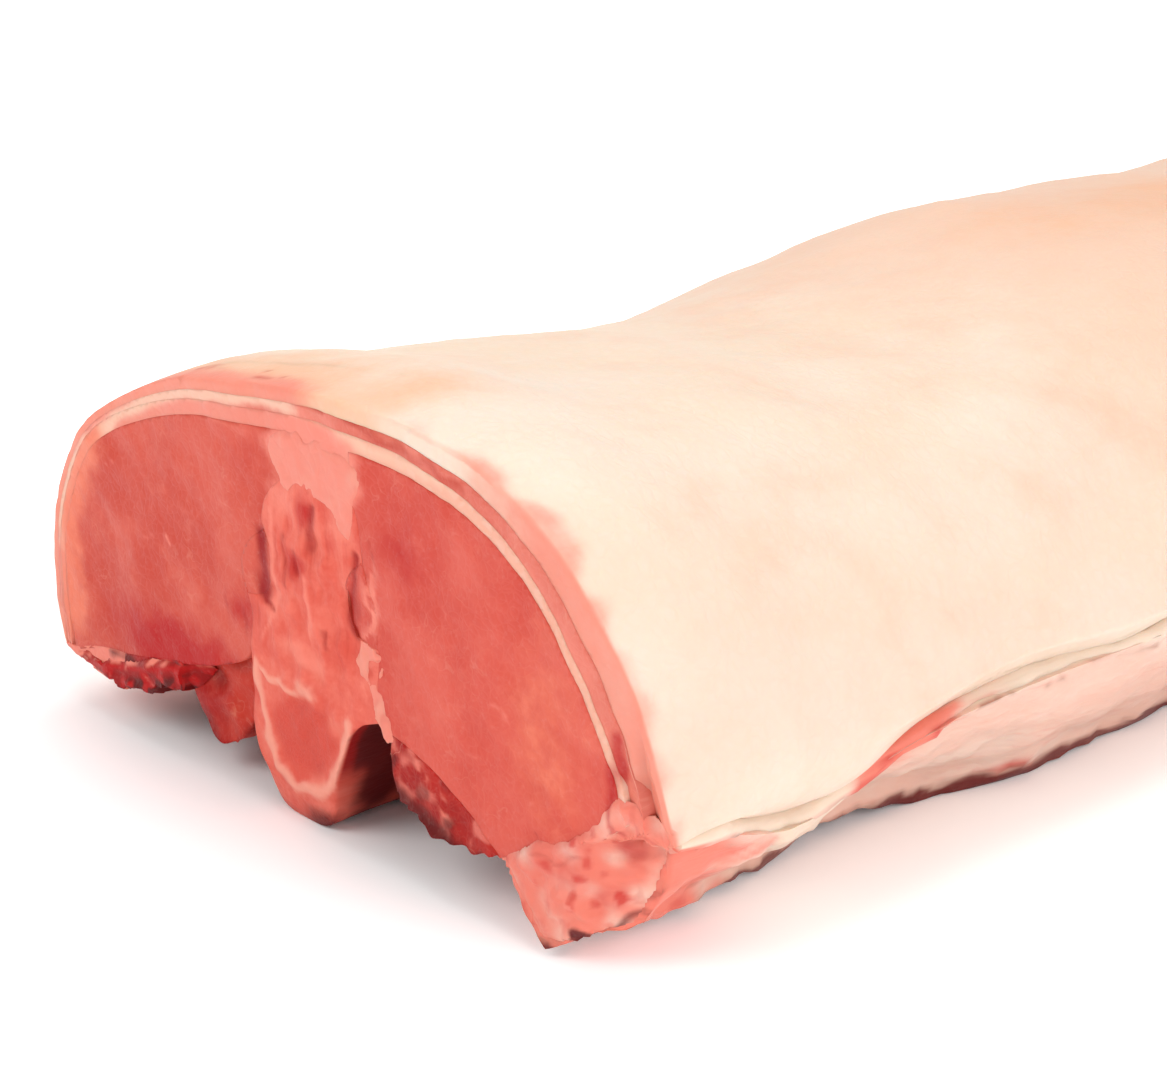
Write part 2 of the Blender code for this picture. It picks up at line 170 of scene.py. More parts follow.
TABLE_GLOW = 0.32
bpy.ops.object.select_all(action="DESELECT")
bpy.ops.mesh.primitive_plane_add(size=40, location=(0, 0, -0.0003))
table = bpy.context.active_object
table.name = "table"
table_finish, table_shader, table_places = new_finish("white table", {
    "Base Color": (0.96, 0.955, 0.95, 1),
    "Roughness": 0.7,
    "Specular IOR Level": 0.1,
    "Emission Strength": 1.0,
})
around_meat = table_places.node("ShaderNodeMapping", {
    "Vector": table_places,
    "Location": (0.16, 0.0, 0.0),
    "Scale": (2.0, 1.25, 0.0),
})
nearness = around_meat.node(
    "ShaderNodeTexGradient", {"Vector": around_meat}, {"gradient_type": "SPHERICAL"}, output="Fac")
glow = (1.0 - nearness.step(0.42, 0.7)) * TABLE_GLOW
glow.tree.links.new(glow.socket, table_shader.inputs["Emission Color"])
table.data.materials.append(table_finish)

studio = bpy.data.worlds.new("studio")
studio.use_nodes = True
studio.node_tree.nodes["Background"].inputs["Color"].default_value = (1, 1, 1, 1)
studio.node_tree.nodes["Background"].inputs["Strength"].default_value = 0.66
bpy.context.scene.world = studio
bpy.context.scene.view_settings.view_transform = "Standard"

LAMP_AIM = Vector((0, -0.1, 0.05))
for lamp_name, lamp_place, lamp_size, lamp_power in (
    ("overhead lamp", (-0.25, 0.15, 1.5), 1.3, 11),
    ("front lamp", (-0.2, -1.4, 1.2), 1.0, 9.3),
    ("side lamp", (1.6, -0.3, 0.9), 1.2, 11.4),
):
    lamp_data = bpy.data.lights.new(lamp_name, "AREA")
    lamp_data.shape = "DISK"
    lamp_data.size = lamp_size
    lamp_data.energy = lamp_power
    lamp = bpy.data.objects.new(lamp_name, lamp_data)
    lamp.location = lamp_place
    lamp.rotation_euler = (LAMP_AIM - lamp.location).to_track_quat("-Z", "Y").to_euler()
    bpy.context.scene.collection.objects.link(lamp)


# Loin eyes. The two large round muscles, one each side of the backbone, sawn straight across their grain,
# with a fine net of pale tissue between their bundles of fibres. They are rounded copies of their solids,
# and their sawn faces carry low relief. Meshes are in millimetres from here on, and finishes in metres.
MM = 0.001
FRONT, BACK = -250.0, 250.0
# The lower right corner of the front cut lies this far back
SET_BACK = 14
# The solids are 0.3 apart, and each wall is filled out by this much, so that neighbours touch
FILL_OUT = 0.55
HARD_EDGE = math.radians(52)
SHADED_EDGE = math.radians(42)


def pick(piece):
    """Makes a piece the only selected object, and the active one."""
    bpy.ops.object.select_all(action="DESELECT")
    bpy.context.view_layer.objects.active = piece
    piece.select_set(True)


def edit(kind):
    """Starts to edit the active piece by its points, edges or faces."""
    bpy.ops.object.mode_set(mode="EDIT")
    bpy.ops.mesh.select_mode(type=kind)


def stop_edit():
    bpy.ops.object.mode_set(mode="OBJECT")


def pick_nothing(kind):
    """Leaves nothing of the active piece selected, ready to select its points, edges or faces in code."""
    edit(kind)
    bpy.ops.mesh.select_all(action="DESELECT")
    stop_edit()


def pick_borders():
    """Selects only the open borders of the piece that is being edited."""
    bpy.ops.mesh.select_all(action="DESELECT")
    bpy.ops.mesh.select_non_manifold(extend=False, use_wire=False, use_boundary=True,
                                     use_multi_face=False, use_non_contiguous=False, use_verts=False)


def join_faces(node, name):
    """A new piece from a solid's mesh, with its triangles merged and joined into four-sided faces."""
    piece = bpy.data.objects.new(name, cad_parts[node].data.copy())
    piece.data.materials.clear()
    bpy.context.scene.collection.objects.link(piece)
    pick(piece)
    edit("FACE")
    bpy.ops.mesh.select_all(action="SELECT")
    bpy.ops.mesh.remove_doubles(threshold=0.02 * MM)
    bpy.ops.mesh.tris_convert_to_quads(face_threshold=math.radians(60), shape_threshold=math.radians(120))
    bpy.ops.mesh.select_all(action="DESELECT")
    stop_edit()
    return piece


def open_ends(piece, reach):
    """Deletes the faces of both cuts. The front one lies up to this far behind the front."""
    for face in piece.data.polygons:
        place = face.center.y / MM
        in_end = place < FRONT + reach + 0.5 or place > BACK - 0.5
        face.select = in_end and abs(face.normal.y) > 0.45
    edit("FACE")
    bpy.ops.mesh.delete(type="FACE")
    stop_edit()


def round_walls(piece, levels):
    """Smooths the walls between their hard edges, and fills them out until neighbours touch."""
    edit("EDGE")
    bpy.ops.mesh.select_all(action="DESELECT")
    bpy.ops.mesh.edges_select_sharp(sharpness=HARD_EDGE)
    bpy.ops.transform.edge_crease(value=1)
    stop_edit()
    smooth = piece.modifiers.new("smooth walls", "SUBSURF")
    smooth.levels = smooth.render_levels = levels
    bpy.ops.object.modifier_apply(modifier=smooth.name)
    fill = piece.modifiers.new("fill out", "DISPLACE")
    fill.strength = FILL_OUT * MM
    fill.mid_level = 0
    bpy.ops.object.modifier_apply(modifier=fill.name)


def close_ends(piece):
    """Closes both ends with a sawn face each, which has many corners, and marks it by its material slot."""
    edit("EDGE")
    pick_borders()
    bpy.ops.mesh.edge_face_add()
    stop_edit()
    piece.data.materials.append(None)
    piece.data.materials.append(None)
    for face in piece.data.polygons:
        face.material_index = 1 if len(face.vertices) > 8 else 0


def square_up(piece, step):
    """Divides the sawn faces into squares of this size, so that they can take relief."""
    spots = spots_of(piece)
    low, high = spots.min(axis=0), spots.max(axis=0)
    piece.active_material_index = 1
    edit("FACE")
    for axis, direction in ((0, (1, 0, 0)), (2, (0, 0, 1))):
        for line in range(math.floor(low[axis] / step) + 1, math.ceil(high[axis] / step)):
            bpy.ops.mesh.select_all(action="DESELECT")
            bpy.ops.object.material_slot_select()
            place = [value * line * step * MM for value in direction]
            bpy.ops.mesh.bisect(plane_co=place, plane_no=direction, threshold=0.000001)
    bpy.ops.mesh.select_all(action="DESELECT")
    stop_edit()


def sawn_piece(node, name, reach, levels, step):
    """A piece with smooth walls from a solid, sawn at both ends, with squares on its sawn faces."""
    piece = join_faces(node, name)
    open_ends(piece, reach)
    round_walls(piece, levels)
    close_ends(piece)
    square_up(piece, step)
    return piece


def ease(value):
    """0 below 0, 1 above 1, and a smooth rise between."""
    value = np.clip(value, 0.0, 1.0)
    return value * value * (3.0 - 2.0 * value)


def lumps(spots, size, seed, waves=18):
    """Soft random rises and hollows of about this size, mostly between -1 and 1: a sum of waves."""
    draw = np.random.default_rng(seed)
    ways = draw.normal(size=(waves, 3))
    ways /= np.linalg.norm(ways, axis=1)[:, None]
    ways *= 2.0 * np.pi / (size * draw.uniform(0.75, 1.5, (waves, 1)))
    return np.sin(spots @ ways.T + draw.uniform(0, 2 * np.pi, waves)).sum(axis=1) / math.sqrt(waves)


def spots_of(piece):
    """The places of all points of a piece."""
    places = np.empty(3 * len(piece.data.vertices))
    piece.data.vertices.foreach_get("co", places)
    return places.reshape(-1, 3) / MM


def outward(piece):
    """The outward direction at each point of a piece."""
    normals = np.empty(3 * len(piece.data.vertices))
    piece.data.vertex_normals.foreach_get("vector", normals)
    return normals.reshape(-1, 3)


def put_spots(piece, spots):
    """Moves the points of a piece to these places, and keeps them above the table."""
    spots = np.maximum(spots, (-np.inf, -np.inf, 0.0))
    piece.data.vertices.foreach_set("co", (spots * MM).ravel())
    piece.data.update()


def on_cut(piece):
    """1 for the points of the sawn faces, their borders included, and 0 for the rest."""
    found = np.zeros(len(piece.data.vertices))
    for face in piece.data.polygons:
        if face.material_index == 1:
            found[list(face.vertices)] = 1.0
    return found


def from_cuts(spots):
    """How far each place is from the nearer one of the two cuts."""
    return np.minimum(spots[:, 1] - FRONT, BACK - spots[:, 1])


def wavered(spots):
    """The same places, moved about a little, so that what is drawn on them has uneven edges."""
    shift = np.column_stack([lumps(spots, 9, seed) for seed in (11, 12, 13)])
    wide = np.column_stack([lumps(spots, 26, seed) for seed in (14, 15, 16)])
    return spots + 0.9 * shift + 1.1 * wide


FROM_FRONT, FROM_ABOVE, FROM_SIDE = (0, 2), (0, 1), (1, 2)


def off_line(a, b, line):
    """How far each place is from the nearest stretch of a line."""
    nearest = np.full(len(a), 1e6)
    for (a0, b0), (a1, b1) in zip(line, line[1:]):
        span = (a1 - a0) ** 2 + (b1 - b0) ** 2
        share = np.clip(((a - a0) * (a1 - a0) + (b - b0) * (b1 - b0)) / span, 0.0, 1.0)
        nearest = np.minimum(nearest, np.hypot(a - a0 - share * (a1 - a0), b - b0 - share * (b1 - b0)))
    return nearest


def stroke(spots, line, width, axes=FROM_FRONT):
    """1 on a line, drawn as seen from the front, above or the side, fading to 0 at this distance from it."""
    return ease(1.0 - off_line(spots[:, axes[0]], spots[:, axes[1]], line) / width)


def patch(spots, middle, radii, axes=FROM_FRONT, edge=0.5):
    """1 inside a rounded patch, fading to 0 over the outer part of its radii."""
    away = np.hypot((spots[:, axes[0]] - middle[0]) / radii[0], (spots[:, axes[1]] - middle[1]) / radii[1])
    return ease((1.0 - away) / edge)


# What is drawn on the sawn faces for each layer. A stroke is its strength, its width and its line across the
# section, and a patch is its strength, its middle, its radii and the share of them over which it fades.
STROKES = {
    "warm": [(0.75, 15, [(-127, 28), (-129, 50), (-124, 74), (-110, 92)])],
    "deep": [(0.7, 4.5, [(119, 68), (118.5, 46)])],
    "pale": [
        (0.8, 3.2, [(-3.5, 74), (-3, 59)]),
        (0.7, 2.5, [(-20.5, 90), (-20, 62), (-25, 50)]),
        (0.35, 3, [(-122, 84), (-104, 100), (-70, 113), (-30, 112)]),
        (0.5, 1.2, [(-84, 68), (-80, 68.5)]), (0.5, 1.2, [(-74, 68), (-70, 67)]),
        (0.5, 1.2, [(-102, 84), (-99, 85)]), (0.5, 1.2, [(74, 62), (80, 61)]),
        (0.4, 1.1, [(56, 84), (58, 80)]), (0.4, 1.1, [(62, 46), (68, 45)]),
    ],
    "pale specks": [
        (0.7, 5.5, [(22, 86), (23, 70), (22, 56), (24, 44), (30, 38)]),
        (0.7, 4, [(38, 39), (46, 33), (56, 26)]),
    ],
    "rim": [
        (1.0, 3.4, [(-28, 43), (-28, 33), (-25.5, 23), (-20.5, 15.5), (-12, 12.5), (-4, 12.5), (3, 15.5),
                    (8, 21), (10.5, 28), (12, 34), (13, 38)]),
        (0.9, 2.0, [(-27, 42), (-19, 41.5), (-11, 40.5)]),
    ],
    "dark": [
        (0.95, 5.0, [(-26, 81.5), (-26, 65)]), (0.8, 3.6, [(15.5, 88), (16, 76), (16.5, 65)]),
        (0.55, 2.4, [(-1, 96), (-1, 84)]), (0.5, 2.4, [(-14, 84), (-14, 72)]),
        (0.5, 1.8, [(-8, 84), (-8, 75)]), (0.5, 1.8, [(10, 104), (11, 101)]),
        (0.5, 1.6, [(-25, 62.5), (-20, 62)]), (0.5, 2.0, [(2, 61), (5, 57)]),
        (0.4, 1.6, [(24, 94), (24, 84)]), (0.35, 2.4, [(-44, 63), (-43, 49)]),
        (0.35, 2.4, [(-35, 60), (-34, 50)]), (0.5, 1.4, [(88, 32), (92, 30)]),
        (0.5, 1.4, [(108, 33), (112, 34)]),
    ],
    # Blood red along the lower edges, partly painted shade
    "blood": [
        (0.6, 2.4, [(-108, 22), (-96, 22), (-60, 29), (-36, 38)]),
        (0.6, 2.6, [(118, 21), (130, 28)]),
    ],
}
PATCHES = {
    "warm": [(0.5, (94, 60), (26, 50), 1.0)],
    "deep": [
        (1.0, (-72, 34), (56, 19), 0.9), (0.7, (-36, 57), (13, 11), 0.9), (0.42, (-8, 28), (19, 14), 0.4),
        (0.6, (-8, 78), (9, 10), 0.8), (0.6, (-4, 93), (6, 7), 0.8), (0.5, (40, 93), (26, 30), 1.0),
        (0.35, (-32, 104), (16, 12), 0.9), (0.8, (116, 34), (7, 9), 0.6), (0.5, (112, 20), (5, 8), 0.8),
    ],
    "pale": [
        (0.65, (-15, 95), (9, 10), 0.7), (1.0, (1, 111), (30, 15), 0.7), (0.5, (-19, 108), (9, 8), 0.8),
        (0.4, (20, 107), (8, 7), 0.8), (0.6, (11, 96), (9, 10), 0.8), (0.55, (-7, 52), (20, 6.5), 0.8),
        (0.5, (100, 21), (9, 9), 0.8), (0.6, (124, 32), (7, 7), 0.8),
    ],
    "rim": [(0.8, (-6, 42), (7, 5), 0.7)],
    # A blood red spot at the bottom of the flap, partly painted shade where it meets the table
    "blood": [(0.9, (105, 10), (4, 3), 0.6)],
}


def drawn_shapes(drawn, layer):
    """All strokes and patches of one layer, one mask for each."""
    masks = [strength * patch(drawn, middle, radii, edge=edge)
             for strength, middle, radii, edge in PATCHES.get(layer, ())]
    masks += [strength * stroke(drawn, line, width) for strength, width, line in STROKES.get(layer, ())]
    return masks


def sawn_marks(piece):
    """Masks for what shows on both sawn faces and runs on over the joints between the pieces."""
    spots = spots_of(piece)
    drawn = wavered(spots)
    near = np.maximum(on_cut(piece), ease((9.0 - from_cuts(spots)) / 6.0))
    marks = {layer: near * sum(drawn_shapes(drawn, layer)) for layer in ("warm", "deep", "pale")}
    marks["pale"] += near * ease(0.5 + 1.3 * lumps(spots, 5, 41)) * sum(drawn_shapes(drawn, "pale specks"))
    marks["bright"] = on_cut(piece) * np.maximum.reduce(drawn_shapes(drawn, "rim"))
    marks["dark"] = near * sum(drawn_shapes(drawn, "dark"))
    # Painted shade low down under the bone, where the cut faces the hollow
    shade_under_bone = ease((drawn[:, 0] + 16) / 14) * ease((40 - spots[:, 0]) / 9)
    shade_under_bone = 0.75 * shade_under_bone * ease((9.0 - spots[:, 2]) / 6.0)
    marks["blood"] = near * (sum(drawn_shapes(drawn, "blood")) + shade_under_bone)
    return marks


def roughen_cuts(piece):
    """Gives the sawn faces lumps, a raised rim and sunken streaks, and returns the marks that they follow."""
    marks = sawn_marks(piece)
    spots = spots_of(piece)
    side = np.where(spots[:, 1] < 0, -1.0, 1.0)
    relief = 0.40 * lumps(spots, 34, 1) + 0.20 * lumps(spots, 11, 2) + 0.08 * lumps(spots, 5, 3)
    relief += 0.8 * marks["bright"] + 0.25 * marks["pale"] - 0.7 * marks["dark"] - 0.45 * marks["deep"]
    bony = patch(spots, (-4, 60), (24, 45), edge=0.4)
    relief += bony * (0.45 * lumps(spots, 8, 44) + 0.25 * lumps(spots, 4, 46))
    spots[:, 1] += side * on_cut(piece) * relief
    put_spots(piece, spots)
    return marks


def paint(piece, **layers):
    """Stores one number per point under each name, for the finishes to read."""
    for name, values in layers.items():
        layer = piece.data.attributes.new(name, "FLOAT", "POINT")
        layer.data.foreach_set("value", np.clip(values, 0.0, 1.0).astype(np.float32))


def dress(piece, finish, slot, *nodes):
    """Gives a piece its finish and smooth shading, and puts it in the place of its solid."""
    piece.data.materials.clear()
    piece.data.materials.append(finish)
    for face in piece.data.polygons:
        face.material_index = 0
    pick(piece)
    bpy.ops.object.shade_smooth_by_angle(angle=SHADED_EDGE)
    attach(piece, "root")
    if nodes:
        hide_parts(*nodes)


# How much brighter the lamps make a surface, and the white that its moist sheen adds
LAMP_GAIN = 1.3
SHEEN = 0.026


def tint(red, green, blue):
    """The colour of a surface that looks like this, from 0 to 255, under the lamps and with its sheen."""
    parts = [((value / 255.0 + 0.055) / 1.055) ** 2.4 for value in (red, green, blue)]
    return tuple(max(part / LAMP_GAIN - SHEEN, 0.003) for part in parts) + (1.0,)


def start_finish(name, coat, softness, shine=0.25):
    """A new moist material: how wet its coat is, how much light sinks into it and how much it shines."""
    return new_finish(name, {
        "Coat Weight": coat,
        "Coat Roughness": 0.25,
        "Subsurface Weight": softness,
        "Subsurface Radius": (1.0, 0.35, 0.2),
        "Subsurface Scale": 4 * MM,
        "Specular IOR Level": shine,
    })


def end_finish(shader, colour, roughness, height, depth):
    """Joins the colour, the roughness and the fine relief, this deep, to the shader."""
    links = colour.tree.links
    links.new(colour.socket, shader.inputs["Base Color"])
    links.new(roughness.socket, shader.inputs["Roughness"])
    bumps = colour.node("ShaderNodeBump", {"Strength": 1.0, "Distance": depth * MM, "Height": height})
    links.new(bumps.socket, shader.inputs["Normal"])


SAWN_LAYERS = (
    ("warm", tint(252, 138, 110)),
    ("deep", tint(199, 48, 28)),
    ("pale", tint(255, 148, 130)),
    ("bright", tint(255, 170, 150)),
    ("dark", tint(170, 42, 33)),
    # Blood red, also used as painted shade in the hollows and along the lower edges
    ("blood", tint(116, 8, 6)),
)


def lean_finish(name, main, pale, deep, extra_layers=(), marbling=0.1, shine=0.25):
    """Raw lean: softly mottled bundles of fibres with pale borders and a few faint threads of fat."""
    finish, shader, places = start_finish(name, coat=0.1, softness=0.1, shine=shine)
    along = places.stretched(1, 0.22, 1)
    mottle = along.grain(34, 4, 0.6)
    blotch = along.grain(120, 3, 0.6)
    bundles = along.swayed(120, 0.006).cells(340)
    fine = along.grain(700, 2, 0.6)
    thread = 1.0 - abs(along.swayed(70, 0.012).grain(90, 2, 0.5) - 0.5).step(0.0, 0.012)
    thread = thread * along.grain(60, 1, 0.5).step(0.5, 0.62)
    colour = mottle.step(0.34, 0.66).blend(deep, main)
    colour = colour.mixed(pale, blotch.step(0.5, 0.8) * 0.35)
    colour = colour.mixed(pale, (1.0 - bundles.step(0.0, 0.14)) * 0.1)
    colour = colour.mixed(tint(255, 190, 165), thread * marbling)
    colour = colour.layered(SAWN_LAYERS + extra_layers, blotch)
    colour = colour.mixed(tint(255, 235, 225), (fine - 0.5).step(0.0, 0.4) * 0.06)
    roughness = 0.38 + 0.2 * blotch
    height = blotch * 0.8 + bundles.step(0.0, 0.2) * 0.12 + mottle * 1.4 + fine * 0.06
    end_finish(shader, colour, roughness, height, depth=0.35)
    return finish


left_eye_finish = lean_finish(
    "left eye lean", tint(226, 103, 88), tint(240, 130, 112), tint(212, 84, 71), shine=0.16)
right_eye_finish = lean_finish(
    "right eye lean", tint(232, 106, 92), tint(244, 132, 115), tint(219, 88, 76), shine=0.18)
for node, name, finish in (
    ("loin_eye_left", "left_eye", left_eye_finish),
    ("loin_eye_right", "right_eye", right_eye_finish),
):
    eye = sawn_piece(node, name, SET_BACK, levels=2, step=1.5)
    paint(eye, **roughen_cuts(eye))
    dress(eye, finish, "eye_lean", node)


# Deep muscles. Two narrow dark muscles lie against the spine, just above the arch of the vertebra. They
# grow together with the eyes, and show as upright dark streaks.
for node, name, finish in (
    ("deep_muscle_left", "left_deep_muscle", left_eye_finish),
    ("deep_muscle_right", "right_deep_muscle", right_eye_finish),
):
    deep_muscle = sawn_piece(node, name, reach=1, levels=2, step=1.2)
    paint(deep_muscle, **roughen_cuts(deep_muscle))
    dress(deep_muscle, finish, "dark_lean", node)


# Backbone. A sawn vertebra: its round body at the bottom with a pale hard rim and red spongy bone inside,
# its arch over the body, and the spine that runs up between the eyes, streaked with gristle.
VERTEBRAE = 13
VERTEBRA_LENGTH = (BACK - FRONT) / VERTEBRAE


def bone_finish():
    """Sawn bone and gristle: upright streaks, red pores in the spongy parts, and pale hard bone."""
    finish, shader, places = start_finish("sawn bone", coat=0.06, softness=0.08, shine=0.12)
    along = places.stretched(1, 0.3, 1)
    streaks = along.stretched(1.0, 1.0, 0.18).grain(240, 3, 0.6)
    mottle = along.grain(90, 4, 0.65)
    pores = along.swayed(300, 0.002).cells(620)
    fine = along.grain(700, 2, 0.6)
    upper = places.axis("Z").step(0.045, 0.06)
    colour = mottle.step(0.35, 0.65).blend(tint(234, 104, 90), tint(247, 128, 111))
    colour = colour.mixed(tint(252, 146, 128), streaks.step(0.5, 0.75) * upper * 0.5)
    colour = colour.mixed(tint(206, 78, 68), (1.0 - streaks).step(0.52, 0.75) * upper * 0.45)
    colour = colour.mixed(tint(252, 146, 128), mottle.step(0.55, 0.7) * (1.0 - upper) * 0.4)
    colour = colour.layered(SAWN_LAYERS, mottle)
    porous = places.painted("deep") * (1.0 - pores.step(0.02, 0.16)) * (1.0 - upper)
    colour = colour.mixed(tint(240, 112, 100), porous * 0.35)
    roughness = 0.4 + 0.2 * mottle
    height = streaks * upper * 0.8 + mottle * 1.6 + fine * 0.1 - porous * 0.2
    end_finish(shader, colour, roughness, height, depth=0.5)
    return finish


backbone = sawn_piece("backbone", "backbone_cut", reach=0.5, levels=2, step=1.1)
marks = roughen_cuts(backbone)
spots = spots_of(backbone)
x, y, z = spots.T
# The wall of the hollow right of the body is painted dark and blood red as painted shade, and from a few
# millimetres in the bone is wet with blood
inner = ease((from_cuts(spots) - 3.0) / 9.0)
shaded_right_wall = (1.0 - on_cut(backbone)) * ease((x - 4) / 6) * ease((50 - z) / 8)
marks["dark"] = np.maximum(marks["dark"], 0.9 * shaded_right_wall)
marks["pale"] = marks["pale"] * (1.0 - shaded_right_wall)
hidden = np.maximum(inner, shaded_right_wall * ease((y - FRONT - 1.0) / 5.0))
# Farther in, the underside is patchy, with a pale disc of gristle at each joint
behind = ease((y + 195) / 20) * ease((225 - y) / 10)
disc = behind * inner * ease((np.cos(2 * np.pi * (y - FRONT) / VERTEBRA_LENGTH) - 0.72) / 0.2)
patchy = 1.0 - behind * ease(0.45 + 0.6 * lumps(spots, 11, 47))
bloody = hidden * ease(0.85 + 0.3 * lumps(spots, 16, 45)) * patchy
marks["blood"] = np.maximum(marks["blood"], bloody * (1.0 - disc))
marks["pale"] = np.maximum(marks["pale"], 0.7 * disc)
paint(backbone, **marks)
dress(backbone, bone_finish(), "bone", "backbone")


# Cover of the back. From the outside in: thick cream fat, a thin sheet of lean, and a thin inner layer of
# fat that dips between the two eyes. At the cut their edges are rounded, moist and pinker than the back.
def on_outer_rim(spot, normal):
    """Whether a wall that faces this way here is on the outside of the back, from the ridge to the right."""
    return normal.x * spot.x + normal.z * (spot.z - 60) > 0 and spot.x > -60 and spot.z > 50


def bevel_rim(piece, width):
    """Rounds the edges of the sawn faces along the outer rim."""
    walls = {}
    for face in piece.data.polygons:
        if face.material_index == 0:
            for key in face.edge_keys:
                walls[key] = face.normal
    chosen = set()
    for face in piece.data.polygons:
        if face.material_index == 1:
            for key in face.edge_keys:
                points = [piece.data.vertices[index].co / MM for index in key]
                if key in walls and on_outer_rim(0.5 * (points[0] + points[1]), walls[key]):
                    chosen.add(key)
    pick_nothing("EDGE")
    for edge in piece.data.edges:
        edge.select = tuple(sorted(edge.vertices)) in chosen
    edit("EDGE")
    bpy.ops.mesh.bevel(offset=width * MM, segments=4, affect="EDGES")
    stop_edit()


def fat_finish(name, main, light, layers, rosiness=0.25):
    """Firm back fat: nearly even cream, with cloudy peach parts, faint small lobes and a moist shine."""
    finish, shader, places = start_finish(name, coat=0.1, softness=0.25)
    cloud = places.stretched(1, 0.6, 1).grain(9, 3, 0.55)
    patchy = places.grain(34, 4, 0.6)
    lobes = places.swayed(90, 0.008).cells(230)
    fine = places.grain(420, 3, 0.6)
    colour = cloud.step(0.35, 0.65).blend(main, light)
    colour = colour.mixed(tint(253, 205, 176), patchy.step(0.5, 0.78) * rosiness)
    colour = colour.mixed(tint(255, 247, 236), lobes.step(0.1, 0.3) * 0.1)
    colour = colour.layered(layers, patchy)
    roughness = 0.42 + 0.16 * patchy
    height = patchy * 1.4 + lobes.step(0.0, 0.25) * 0.12 + fine * 0.1
    end_finish(shader, colour, roughness, height, depth=0.5)
    return finish


fat_cover = join_faces("fat_cover", "back_fat")
open_ends(fat_cover, SET_BACK)
round_walls(fat_cover, levels=3)
close_ends(fat_cover)
bevel_rim(fat_cover, width=1.6)
square_up(fat_cover, step=1.5)
spots, facing = spots_of(fat_cover), outward(fat_cover)
outside = ease((facing[:, 0] * spots[:, 0] + facing[:, 2] * (spots[:, 2] - 50)) / 20)
inland = ease(from_cuts(spots) / 25.0 - 0.1)
swell = 0.9 * lumps(spots, 75, 21) + 0.35 * lumps(spots, 28, 22) + 0.12 * lumps(spots, 12, 23)
spots += facing * (swell * outside * inland)[:, None]
put_spots(fat_cover, spots)
marks = roughen_cuts(fat_cover)
spots = spots_of(fat_cover)
drawn = wavered(spots)
drawn_x = drawn[:, 0]
cut = on_cut(fat_cover)
from_front = spots[:, 1] - FRONT
rosy_edge = from_front + 2.5 * lumps(spots, 14, 26)
on_left = ease((14 - drawn_x) / 30)
on_right = ease((spots[:, 0] - 20) / 40)
top = ease(outward(fat_cover)[:, 2] * 1.6 - 0.5)
RIDGE_LINE = [(-56, -238), (-34, -233), (-12, -230), (14, -229)]
SIDE_LINE = [(-145, 49), (-131, 49.6), (-118, 50.8), (-93, 47), (-74, 46.5), (-56, 48)]
paint(
    fat_cover,
    # Peach over the top, strongest towards the back, and on the sides near the front as painted shade
    peach=0.85 * top * ease((from_front - 120) / 240) + 0.25 * top
    + 0.32 * (1.0 - top) * ease((260 - from_front) / 160),
    pink=np.maximum.reduce([
        0.85 * on_left * ease(1.0 - from_front / 13.0),
        cut * ease((drawn_x - 45) / 50) * 0.85,
        0.6 * outside * on_right * ease(1.0 - rosy_edge / 8.0),
    ]),
    blush=np.maximum(
        0.75 * ease((60 - drawn_x) / 44) * ease(1.0 - from_front / 60.0),
        0.75 * patch(drawn, (0, 100), (70, 120), FROM_ABOVE, edge=1.0) * outside,
    ),
    # Painted shade in a crease on the top near the cut and in a crease along the right side
    grey=outside * (
        0.3 * stroke(spots, RIDGE_LINE, 3.2, FROM_ABOVE)
        + 0.45 * ease((drawn_x - 110) / 8) * stroke(drawn, SIDE_LINE, 1.3, FROM_SIDE)),
    deep=marks["deep"] * ease((drawn_x - 100) / 10)
    + outside * ease(0.4 + lumps(spots, 18, 25)) * (
        0.6 * stroke(drawn, [(-112, -246.5), (-60, -244), (-14, -244.5)], 1.4, FROM_ABOVE)
        + 0.4 * stroke(drawn, [(-84, -241), (-30, -240)], 1.2, FROM_ABOVE)),
)
FAT_LAYERS = (
    ("peach", tint(251, 210, 184)),
    ("blush", tint(252, 196, 160)),
    ("pink", tint(250, 152, 132)),
    ("grey", tint(196, 172, 144)),
    ("deep", tint(206, 84, 70)),
)
dress(fat_cover, fat_finish("back fat", tint(254, 227, 201), tint(254, 233, 214), FAT_LAYERS),
      "fat", "fat_cover")

# The pale line that both inner layers show across the top of the left side
PALE_LINE = [(60, 117), (40, 118), (24, 118.5), (9, 120.5), (-5, 121.5), (-21, 121.8), (-36, 120),
             (-59, 115.5), (-76, 110), (-95, 100), (-111, 89), (-124, 78), (-130, 64), (-131, 50)]


def pale_line(piece, width):
    """1 on the pale line of a layer, which wavers less than what else is drawn there."""
    spots = spots_of(piece)
    return stroke(0.7 * spots + 0.3 * wavered(spots), PALE_LINE, width)


cover_lean_finish = lean_finish("cover lean", tint(240, 134, 116), tint(252, 158, 139), tint(228, 112, 96), (
    ("salmon", tint(250, 148, 130)),
    ("streak", tint(206, 84, 70)),
    ("line", tint(255, 198, 174)),
))
cover_lean = sawn_piece("cover_lean", "cover_lean_sheet", SET_BACK, levels=2, step=1.5)
marks = roughen_cuts(cover_lean)
drawn = wavered(spots_of(cover_lean))
drawn_x, _, drawn_z = drawn.T
paint(
    cover_lean,
    line=pale_line(cover_lean, 4.2) * ease((-drawn_x - 2) / 12),
    salmon=0.85 * ease((-10 - drawn_x) / 30) + 0.6 * stroke(drawn, [(86, 103), (106, 85)], 8)
    + 0.8 * ease((46 - drawn_z) / 8) * ease(drawn_x / 20),
    streak=0.75 * stroke(drawn, [(-4, 126), (10, 125), (36, 122), (62, 116)], 2.6),
    **marks,
)
dress(cover_lean, cover_lean_finish, "cover_lean", "cover_lean")

